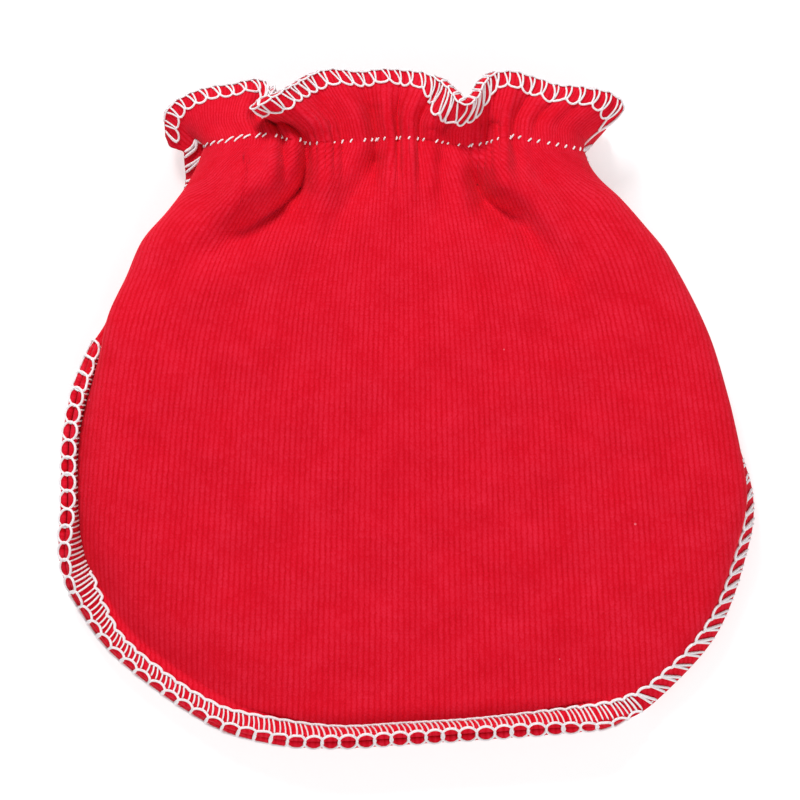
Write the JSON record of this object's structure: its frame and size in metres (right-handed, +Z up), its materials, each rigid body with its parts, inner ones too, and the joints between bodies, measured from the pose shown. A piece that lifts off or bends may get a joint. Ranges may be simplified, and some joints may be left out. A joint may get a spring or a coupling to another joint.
{
  "type": "baby mitten",
  "caption": "Soft knitted cotton mitten with no thumb, gathered wrist with a wavy ruffle and overlocked edges, lying flat, slightly puffed",
  "frame": {"origin": "on the table under the middle of the mitten's bounding box", "axes": "+Z up from the table through the back panel to the front panel, +Y from the fingertips towards the wrist, +X to the right seen from above"},
  "size_m": [0.0933, 0.0908, 0.015],
  "materials": {
    "red_knit": "fine ribbed cotton knit, matt, slightly fuzzy",
    "red_knit_back": "fine ribbed cotton knit, matt, slightly fuzzy",
    "elastic": "narrow braided elastic, matt",
    "white_thread": "soft spun overlock thread, matt"
  },
  "bodies": {
    "root": {"front_panel": "red_knit", "back_panel": "red_knit_back", "wrist_elastic": "elastic"}
  },
  "joints": []
}
